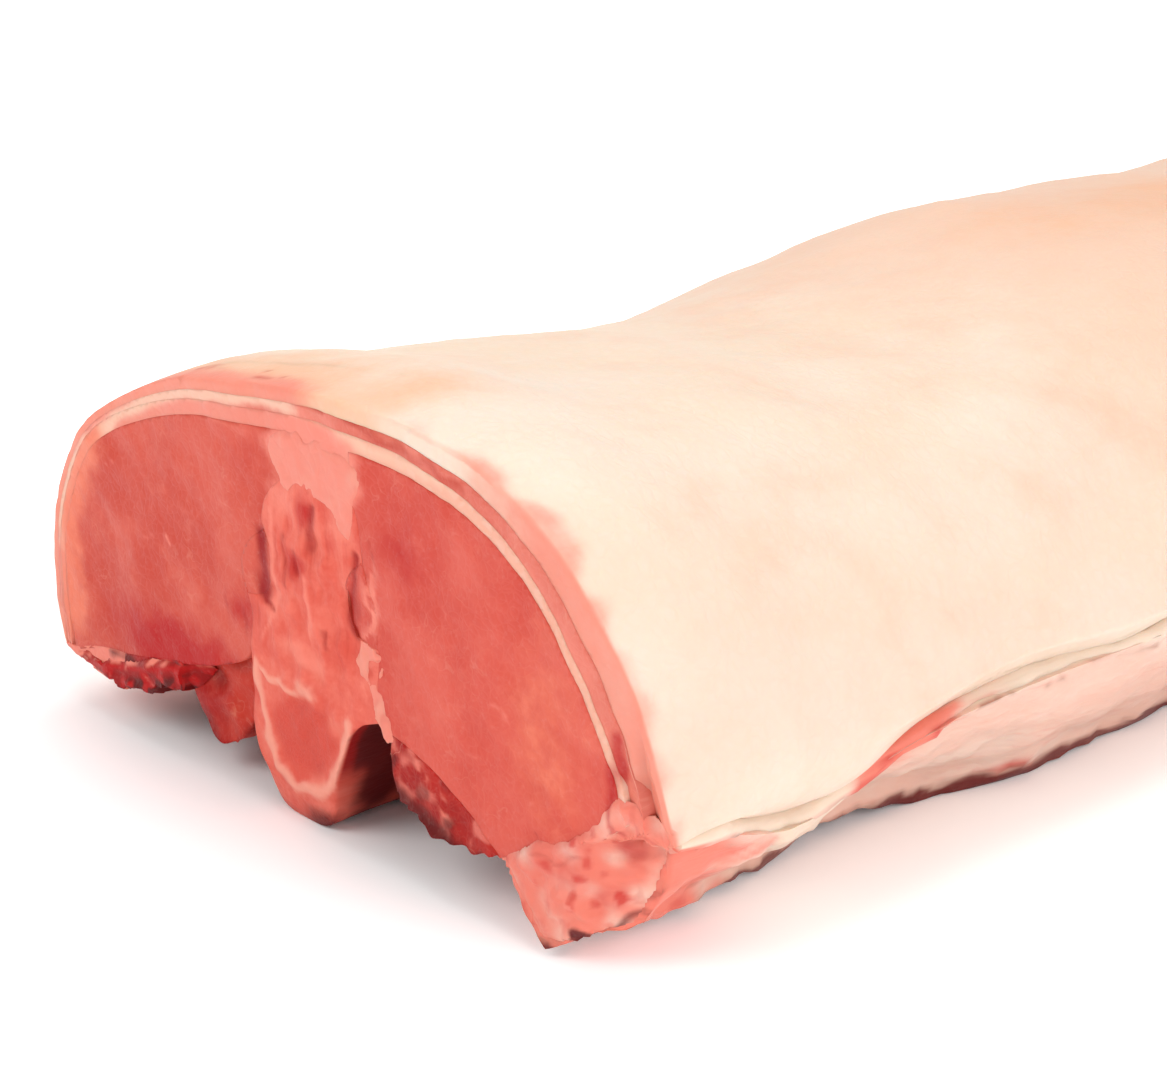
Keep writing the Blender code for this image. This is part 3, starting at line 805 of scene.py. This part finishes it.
seam_fat_finish = fat_finish("seam fat", tint(250, 172, 148), tint(252, 186, 162), (
    ("pink", tint(248, 146, 128)),
    ("line", tint(255, 202, 176)),
) + SAWN_LAYERS, rosiness=0.3)
seam_fat = sawn_piece("seam_fat", "inner_fat", SET_BACK, levels=2, step=1.5)
marks = roughen_cuts(seam_fat)
drawn_x, _, drawn_z = wavered(spots_of(seam_fat)).T
paint(
    seam_fat,
    pink=0.85 * ease((14 - drawn_x) / 20) + 0.7 * ease((50 - drawn_z) / 14) * ease(drawn_x / 20),
    line=0.85 * pale_line(seam_fat, 3.6),
    **marks,
)
dress(seam_fat, seam_fat_finish, "seam_fat", "seam_fat")


# Linings. Thin shiny tissue and scraps of lean under both eyes, dark where it is wet with blood, and painted
# dark red along the lower edges as painted shade.
lining_finish = lean_finish("lining", tint(198, 62, 56), tint(232, 112, 100), tint(160, 36, 32), (
    ("sinew", tint(240, 130, 116)),
    ("wet", tint(112, 12, 10)),
), marbling=0.3, shine=0.1)
for node, name in (("lining_left", "left_lining"), ("lining_right", "right_lining")):
    lining = sawn_piece(node, name, reach=1, levels=3, step=1.2)
    spots, facing = spots_of(lining), outward(lining)
    under = ease((-facing[:, 2] - 0.2) / 0.3)
    spots += facing * (under * (1.3 * lumps(spots, 16, 31) + 0.8 * lumps(spots, 6, 32)))[:, None]
    put_spots(lining, spots)
    marks = roughen_cuts(lining)
    spots = spots_of(lining)
    x, _, z = spots.T
    is_left = x < 0
    # The lower edge is painted dark red as painted shade, over patches that are wet with blood
    low = np.where(is_left, ease((25 - z) / 8), ease((30 - 0.3 * (x - 36) - z) / 6))
    paint(
        lining,
        wet=np.maximum(0.85 * low, 0.6 * ease(0.9 * lumps(spots, 9, 35) - 0.1)),
        sinew=np.where(is_left, 0.3, 0.7) * ease(1.2 * lumps(spots, 9, 36) - 0.2),
        **marks,
    )
    dress(lining, lining_finish, "lining", node)


# Tenderloins. The two soft dark muscles under the backbone. The left one hangs down just behind the cut,
# with a thread of fat along its side, and the right one starts deep in its hollow.
tenderloin_finish = lean_finish("tenderloin", tint(210, 74, 62), tint(228, 106, 92), tint(178, 52, 45), (
    ("wet", tint(118, 10, 8)),
    ("fat", tint(244, 160, 130)),
), shine=0.12)
for node, name, reach in (
    ("tenderloin_left", "left_tenderloin", 6),
    ("tenderloin_right", "right_tenderloin", 80),
):
    tenderloin = sawn_piece(node, name, reach, levels=3, step=1.5)
    spots, facing = spots_of(tenderloin), outward(tenderloin)
    free = ease((-facing[:, 2] - 0.1) / 0.4)
    spots += facing * (free * (1.0 * lumps(spots, 22, 51) + 0.5 * lumps(spots, 8, 52)))[:, None]
    spots[:, 1] += on_cut(tenderloin) * 1.2 * lumps(spots, 12, 53)
    put_spots(tenderloin, spots)
    spots = spots_of(tenderloin)
    drawn = wavered(spots)
    # Painted shade towards the bottom near the table and on the cut in the gap beside the bone, over wet
    # patches
    paint(
        tenderloin,
        wet=0.8 * ease((10 - spots[:, 2]) / 8) + 0.5 * ease(lumps(spots, 20, 54))
        + 0.7 * ease((drawn[:, 0] + 36) / 4) * ease((-20 - spots[:, 0]) / 5) * on_cut(tenderloin),
        fat=0.9 * stroke(drawn, [(-37, 37), (-35, 31), (-31, 25)], 1.6)
        + 0.5 * stroke(drawn, [(-46, 30), (-47, 20)], 2.0) * ease(0.6 + lumps(spots, 6, 55)),
    )
    dress(tenderloin, tenderloin_finish, "dark_lean", node)


# Flanks. The thin lower walls under the edges of the skin: pale pink fat and tissue with bits of lean,
# with painted shade along the crease under the skin and painted contact shadow where they touch the table.
def flank_finish():
    """Pale pink flank: soft fat with streaks of tissue that run along the cut."""
    finish, shader, places = start_finish("flank", coat=0.15, softness=0.2)
    along = places.stretched(1, 0.35, 1)
    cloud = along.grain(45, 4, 0.6)
    streaks = places.stretched(1, 0.12, 1).grain(260, 3, 0.6)
    lobes = along.swayed(110, 0.006).cells(260)
    fine = places.grain(600, 3, 0.6)
    colour = cloud.step(0.35, 0.65).blend(tint(254, 206, 187), tint(255, 222, 205))
    colour = colour.mixed(tint(246, 150, 132), streaks.step(0.56, 0.8) * 0.4)
    colour = colour.mixed(tint(255, 232, 214), lobes.step(0.12, 0.3) * 0.15)
    colour = colour.layered((
        ("salmon", tint(253, 140, 121)),
        ("red", tint(222, 82, 74)),
        ("brown", tint(170, 116, 98)),
        ("skin", tint(255, 230, 208)),
    ) + SAWN_LAYERS + (("wet", tint(122, 26, 20)),), cloud)
    roughness = 0.38 + 0.2 * cloud
    height = cloud * 1.2 + streaks * 0.4 + fine * 0.1 + lobes.step(0.0, 0.25) * 0.1
    end_finish(shader, colour, roughness, height, depth=0.6)
    return finish


soft_flank = flank_finish()
# Along the cut, as places and heights: the lower edge of the skin that hangs over the right flank near the
# front, up to where it ends, and the top of the painted contact shadow where the flanks touch the table
SKIN_END = -163
SKIN_EDGE = ((-222, -212, -204, -196, -188, -178, -171, -167, SKIN_END), (42, 38, 33, 24, 14, 9, 14, 30, 46))
CONTACT_SHADE_EDGE = ((-250, -215, -190, -170, -150, -115, -90, 250), (4, 4.5, 4, 5.5, 5.5, 5, 4.5, 4))
for node, name, reach in (("flank_left", "left_flank", 1), ("flank_right", "right_flank", SET_BACK)):
    flank = sawn_piece(node, name, reach, levels=3, step=1.5)
    spots, facing = spots_of(flank), outward(flank)
    side = np.sign(spots[:, 0])
    free = np.maximum(ease((side * facing[:, 0] - 0.2) / 0.3), ease((-facing[:, 2] - 0.2) / 0.3))
    _, drawn_y, drawn_z = wavered(spots).T
    skin = ease((drawn_z - np.interp(drawn_y, *SKIN_EDGE)) / 1.2) * ease((drawn_y + 224) / 8)
    skin *= ease((SKIN_END - drawn_y) / 1.5) * ease((spots[:, 0] - 60) / 10)
    rise = 0.9 * lumps(spots, 26, 61) + 0.5 * lumps(spots, 9, 62) - 0.3 + 0.8 * skin
    spots += facing * (free * rise)[:, None]
    put_spots(flank, spots)
    marks = roughen_cuts(flank)
    spots = spots_of(flank)
    x, _, z = spots.T
    drawn = wavered(spots)
    drawn_y = drawn[:, 1]
    from_front = drawn_y - FRONT
    cut = on_cut(flank)
    right = ease((x - 60) / 10)
    edge = np.interp(drawn_y, *CONTACT_SHADE_EDGE) - z
    edge += 0.8 * lumps(spots, 12, 65) + 0.5 * lumps(spots, 5, 68)
    streaks_low = ease(0.6 + lumps(spots, 7, 64))
    threads = lumps(spots * (1, 0.3, 1), 6, 67)
    painted_light_ledge = ease((outward(flank)[:, 2] - 0.35) / 0.3) * ease((drawn_y + 134) / 8)
    paint(
        flank,
        salmon=np.maximum(0.9 * ease((68 - from_front - 0.3 * z + 8 * threads) / 34), 0.95 * cut)
        + right * (0.8 * patch(drawn, (-164, 30), (11, 7), FROM_SIDE, edge=0.7)
                   + 0.5 * patch(drawn, (-150, 33), (22, 9), FROM_SIDE, edge=0.8)),
        # Skin colour on the skin, and the same light colour on the ledge under it as painted light against
        # its shade
        skin=np.maximum(skin, 0.9 * right * painted_light_ledge),
        # Red threads near the front, red tissue low down, and a red line of painted shade under the end of
        # the skin
        red=right * (
            0.45 * ease(0.9 * threads - 0.1) * ease((56 - from_front) / 20) * ease((34 - z) / 10)
            + 0.7 * stroke(drawn, [(-169, 31), (-158, 39), (-147, 42.5), (-133, 43)], 3.4, FROM_SIDE)
            + 0.6 * patch(drawn, (-140, 39), (9, 4), FROM_SIDE, edge=0.7)
            + 0.75 * patch(drawn, (-82, 4.5), (24, 5.5), FROM_SIDE, edge=1.0) * streaks_low
            + 0.35 * stroke(drawn, [(-50, 12), (20, 10), (120, 12)], 6, FROM_SIDE) * streaks_low),
        # Brown: painted shade along the crease under the skin and just above the painted contact shadow, and
        # brown blotches near the front
        brown=right * (
            0.7 * stroke(drawn, [(-133, 43.5), (-113, 44.5)], 1.8, FROM_SIDE)
            + 0.6 * stroke(drawn, [(-97, 42), (-74, 44), (-48, 41)], 1.6, FROM_SIDE)
            + 0.35 * ease(1.1 * lumps(spots * (1, 0.3, 1), 5, 69) - 0.3) * ease((60 - from_front) / 20)
            + 0.5 * ease((edge + 2.0) / 2.5)),
        # Painted contact shadow along the table, a dark spot at the front of the right flank, and painted
        # shade low on the left flank near the front
        wet=0.85 * ease(edge / 2.0)
        + right * 0.6 * patch(drawn, (-238, 16), (3.5, 3), FROM_SIDE, edge=0.8)
        + (1.0 - right) * 0.8 * ease((13.0 + 2.0 * lumps(spots, 9, 66) - z) / 4.0)
        * ease((40 - from_front) / 20),
        **marks,
    )
    dress(flank, soft_flank, "flank", node)


# Fold of the skin edge. Soft fat curls out from under the edge of the skin, all along the right side, and
# fills the crease between the back fat and the flank.
def edge_of(piece, stations, choose):
    """At each distance along the cut, the point of a piece that this choice rates highest."""
    spots, facing = spots_of(piece), outward(piece)
    found = []
    for station in stations:
        near = np.flatnonzero((np.abs(spots[:, 1] - station) < 5.0) & (spots[:, 0] > 90))
        found.append(spots[near[np.argmax(choose(spots[near], facing[near]))]])
    return np.array(found)


def evened(values, reach):
    """A row of values, each replaced by the average of its neighbours."""
    kernel = np.ones(2 * reach + 1) / (2 * reach + 1)
    return np.convolve(np.pad(values, reach, mode="edge"), kernel, mode="valid")


AROUND = 20
STATIONS = np.linspace(-240, 249, 164)
skin_edge = edge_of(fat_cover, STATIONS, lambda spots, facing: spots[:, 0] - 1.5 * spots[:, 2])
ledge_edge = edge_of(bpy.data.objects["right_flank"], STATIONS,
                     lambda spots, facing: spots[:, 0] + 2.0 * spots[:, 2] - 40.0 * (facing[:, 2] < 0.3))
across = np.column_stack([evened(skin_edge[:, 0], 3), evened(skin_edge[:, 2], 3)])
below = np.column_stack([evened(ledge_edge[:, 0], 3), evened(ledge_edge[:, 2], 3)])
middle = 0.5 * (across + below)
radius = np.clip(0.5 * np.linalg.norm(across - below, axis=1) + 0.4, 2.0, 4.5)
radius = evened(radius, 3) * (0.25 + 0.75 * ease(np.minimum(STATIONS + 242, 251 - STATIONS) / 14.0))
bpy.ops.object.select_all(action="DESELECT")
bpy.ops.mesh.primitive_cylinder_add(vertices=AROUND, radius=1, depth=2, end_fill_type="NGON")
fold = bpy.context.active_object
fold.name = "skin_fold"
pick_nothing("EDGE")
for edge in fold.data.edges:
    ends = [fold.data.vertices[index].co for index in edge.vertices]
    edge.select = abs(ends[0].z - ends[1].z) > 1.0
edit("EDGE")
bpy.ops.mesh.subdivide(number_cuts=len(STATIONS) - 2)
stop_edit()
shares = spots_of(fold) * MM
station = STATIONS[0] + (shares[:, 2] + 1.0) * 0.5 * (STATIONS[-1] - STATIONS[0])
width = np.interp(station, STATIONS, radius)
spots = np.column_stack([
    np.interp(station, STATIONS, middle[:, 0]) - 0.35 * width + shares[:, 0] * width,
    station,
    np.interp(station, STATIONS, middle[:, 1]) + shares[:, 1] * width,
])
wobble = 0.5 * lumps(spots, 16, 81) + 0.3 * lumps(spots, 6, 82)
spots[:, 0] += wobble * shares[:, 0] + 0.8 * lumps(spots * (0, 1, 0), 40, 83)
spots[:, 2] += wobble * shares[:, 1]
put_spots(fold, spots)
edit("FACE")
bpy.ops.mesh.select_all(action="SELECT")
bpy.ops.mesh.normals_make_consistent(inside=False)
stop_edit()
drawn = wavered(spots)
drawn_y, share_up = drawn[:, 1], shares[:, 1]
lower = ease((0.1 - share_up) / 0.6)
threads = lumps(spots * (1, 0.25, 1), 5, 67)
crease = ease((drawn_y + 172) / 7) * ease((-110 - drawn_y + 8 * threads) / 34)
paint(
    fold,
    skin=0.9 * ease((share_up + 0.5) / 0.5) * (1.0 - crease),
    salmon=0.7 * lower * ease((-228 - drawn_y) / 8) + 0.4 * ease((-215 - drawn_y) / 10)
    + 0.9 * crease,
    red=0.75 * crease * ease(0.3 + 0.9 * threads) * ease((0.8 - share_up) / 0.6),
    pale=crease * 0.5 * ease(0.8 * lumps(spots * (1, 0.25, 1), 4, 86) - 0.1),
    # Brown on the lower side of the fold as painted shade in the crease, and a brown patch near the front
    brown=0.4 * lower * ease(lumps(spots, 14, 84)) + 0.3 * patch(drawn, (-217, 34), (12, 3), FROM_SIDE),
)
dress(fold, soft_flank, "fat")


# Torn edges. Loose tissue that the knife left hanging over the lower edges of the sawn face, an orange pink
# flap at the right and dark red scraps under the left eye, and fat that the saw smeared over the joints
# beside the bone. Each is a thin layer that lies on the face.
def inside(spots, outline):
    """How far inside a closed outline each point lies across the section, and below 0 outside of it."""
    x, _, z = spots.T
    border = outline + outline[:1]
    crossings = np.zeros(len(spots))
    for (x0, z0), (x1, z1) in zip(border, border[1:]):
        if z0 != z1:
            at = x0 + (z - z0) * (x1 - x0) / (z1 - z0)
            crossings += ((z0 > z) != (z1 > z)) & (x < at)
    nearest = off_line(x, z, border)
    return np.where(crossings % 2 == 1, nearest, -nearest)


def blurred(values, known):
    """A grid of values, each the average of the known ones near it."""
    for _ in range(6):
        total, weight = np.zeros_like(values), np.zeros_like(values)
        padded, padded_known = np.pad(values * known, 1, mode="edge"), np.pad(known, 1, mode="edge")
        for row in range(3):
            for column in range(3):
                rows, columns = slice(row, row + values.shape[0]), slice(column, column + values.shape[1])
                total += padded[rows, columns]
                weight += padded_known[rows, columns]
        values, known = total / np.maximum(weight, 1e-9), np.minimum(weight, 1.0)
    return values


def drape(name, outline, thickness, ragged, stretch=(1, 1, 1)):
    """A thin layer of tissue over the front, inside an outline, that sinks into the face at its border."""
    cell, deepest = 0.8, 25
    low, high = np.min(outline, axis=0) - 2.0, np.max(outline, axis=0) + 2.0
    columns, rows = [int(length / cell) for length in high - low]
    bpy.ops.object.select_all(action="DESELECT")
    bpy.ops.mesh.primitive_grid_add(x_subdivisions=columns, y_subdivisions=rows, size=1)
    piece = bpy.context.active_object
    piece.name = name
    share_x, share_z, _ = (spots_of(piece) * MM + 0.5).T
    flat = np.zeros(len(share_x))
    column, row = np.rint(share_x * columns).astype(int), np.rint(share_z * rows).astype(int)
    spots = np.column_stack([low[0] + share_x * (high - low)[0], flat, low[1] + share_z * (high - low)[1]])
    face = np.full((rows + 1, columns + 1), FRONT)
    known = np.zeros_like(face)
    for index, (x, _, z) in enumerate(spots):
        hit = front_faces.ray_cast(Vector((x, FRONT - 40, z)), Vector((0, 1, 0)))[0]
        if hit is not None and hit.y < FRONT + deepest:
            face[row[index], column[index]] = hit.y
            known[row[index], column[index]] = 1.0
    smooth_face = blurred(face, known)[row, column]
    real_face = np.where(known > 0, face, 1e6)[row, column]
    grown = spots * stretch
    depth = inside(spots, outline) + ragged * (lumps(grown, 8, 71) + 0.6 * lumps(grown, 3.5, 72))
    relief = 1.0 + 0.6 * lumps(grown, 9, 73) + 0.4 * lumps(grown, 4, 74)
    top = np.minimum(smooth_face, real_face) - thickness * np.maximum(relief, 0.3) * ease(depth / 3.5)
    spots[:, 1] = top + 0.6 * (1.0 - ease(depth / 1.5))
    put_spots(piece, spots)
    pick_nothing("VERT")
    for vertex, kept in zip(piece.data.vertices, depth > 0.0):
        vertex.select = not kept
    edit("VERT")
    bpy.ops.mesh.delete(type="VERT")
    pick_borders()
    bpy.ops.mesh.vertices_smooth(factor=0.5, repeat=3)
    stop_edit()
    layer = piece.modifiers.new("layer", "SOLIDIFY")
    layer.thickness = 0.8 * MM
    layer.offset = -1
    bpy.ops.object.modifier_apply(modifier=layer.name)
    return piece


face_points, face_polygons = [], []
for name in (
    "left_eye", "right_eye", "inner_fat", "cover_lean_sheet", "back_fat", "left_lining", "right_lining",
    "left_flank", "right_flank", "left_tenderloin", "backbone_cut",
):
    neighbour = bpy.data.objects[name]
    start = len(face_points)
    face_points += [Vector(spot) for spot in spots_of(neighbour)]
    face_polygons += [[start + index for index in face.vertices] for face in neighbour.data.polygons
                      if face.center.y < (FRONT + 30) * MM]
front_faces = BVHTree.FromPolygons(face_points, face_polygons)

flap = drape("torn_flap", [
    (77, 22.5), (84, 27.5), (90, 32), (98, 34.5), (106, 39), (111, 44), (115, 50), (119, 54), (124, 54),
    (129, 51), (133, 48), (134, 44), (129, 38), (124, 33), (121, 26), (118, 20), (115, 13.5), (108.5, 9.5),
    (100, 5.5), (94, 3.6), (91, 5.2), (85, 12), (76.5, 21),
], thickness=0.9, ragged=0.5)
spots = spots_of(flap)
x, _, z = spots.T
drawn = wavered(spots)
paint(
    flap,
    salmon=np.full(len(spots), 0.75) + 0.3 * lumps(spots, 10, 75),
    red=0.5 * patch(drawn, (112, 20), (6, 7), edge=0.8) + 0.35 * ease(1.2 * lumps(spots, 6, 76) - 0.4)
    + 0.35 * ease((z - 14) / 12) * ease((114 - x) / 12),
    deep=0.6 * patch(drawn, (115, 34), (5, 7), edge=0.8)
    + 0.6 * stroke(drawn, [(118, 56), (119, 43)], 2.8)
    + 0.4 * stroke(drawn, [(126, 52), (127, 41)], 2.0),
    pale=ease(0.1 + 1.3 * lumps(spots, 3.6, 87)) * (0.3 + 0.7 * ease((27 - z) / 8)) * (
        0.35
        + 0.5 * patch(drawn, (100, 21), (9, 8), edge=0.9)
        + 0.5 * patch(drawn, (124, 31), (8, 8), edge=0.9)
        + 0.15 * patch(drawn, (127, 46), (7, 7), edge=0.9)),
    dark=0.3 * stroke(drawn, [(89, 28), (96, 27), (104, 29)], 1.3)
    + 0.5 * stroke(drawn, [(85, 14), (90, 6)], 1.6)
    + 0.35 * stroke(drawn, [(86, 32), (90, 31)], 1.5)
    + 0.4 * stroke(drawn, [(118.5, 64), (118, 50)], 2.6),
    # Blood red along the bottom edge, partly painted shade where the flap meets the table
    blood=0.95 * patch(drawn, (105, 10.5), (4, 2.6), edge=0.5)
    + 0.7 * stroke(drawn, [(93, 4), (99, 6)], 1.8)
    + 0.7 * stroke(drawn, [(112, 12), (117, 17)], 1.8),
)
dress(flap, soft_flank, "flank")

scraps = drape("torn_scraps", [
    (-127, 17), (-121, 19), (-112, 20), (-103, 22.5), (-91, 25.5), (-77, 29.5), (-66, 33), (-60, 34),
    (-59, 29), (-63, 22.5), (-70, 19.5), (-79, 17), (-86, 15.5), (-91, 12.8), (-99, 10), (-104, 10.5),
    (-109, 13.5), (-117, 13.5), (-124, 14.5),
], thickness=0.9, ragged=1.0, stretch=(0.5, 1, 1.2))
spots = spots_of(scraps)
below_top = np.interp(spots[:, 0], (-127, -112, -91, -66), (17, 20, 25, 33)) - spots[:, 2]
# Pale along the top edge and darker towards the bottom, where the darkest red is painted shade
paint(
    scraps,
    pale=0.8 * ease((3.5 - below_top) / 2.5) * ease(0.3 + lumps(spots, 7, 77))
    + 0.5 * ease(lumps(spots, 5, 78) - 0.7),
    deep=ease((below_top - 1.0) / 3.0),
    dark=0.9 * ease((below_top - 2.5) / 3.0) * ease(0.7 + 1.2 * lumps(spots, 6, 79)),
    wet=0.9 * ease((below_top - 4.0) / 4.0) * ease(0.4 + 1.2 * lumps(spots, 6, 80)),
)
dress(scraps, lining_finish, "lining")

for name, thickness, ragged, outline in (
    ("smeared_fat_top", 0.3, 1.0, [
        (-19, 115), (-5, 117), (10, 116.5), (21, 114), (23, 109), (19, 103), (18, 96), (16.5, 88), (13.5, 88),
        (10, 95), (4, 99), (-4, 100.5), (-12, 98), (-17, 99), (-20, 103), (-21, 110),
    ]),
    ("smeared_fat_side", 0.45, 2.2, [
        (15, 70), (19, 73), (23.5, 70), (25.5, 62), (25.5, 53), (28, 46), (34, 38.5), (31, 36), (25.5, 40),
        (20.5, 46), (17.5, 54), (16.5, 63),
    ]),
):
    smear = drape(name, outline, thickness, ragged)
    spots = spots_of(smear)
    paint(
        smear,
        pale=0.95 - 0.25 * ease(lumps(spots, 12, 92)),
        warm=0.35 * ease(lumps(spots, 7, 91)),
        deep=0.1 + 0.35 * ease(lumps(spots, 5, 93) - 0.4) + 0.15 * ease((80 - spots[:, 2]) / 20),
    )
    dress(smear, seam_fat_finish, "seam_fat")
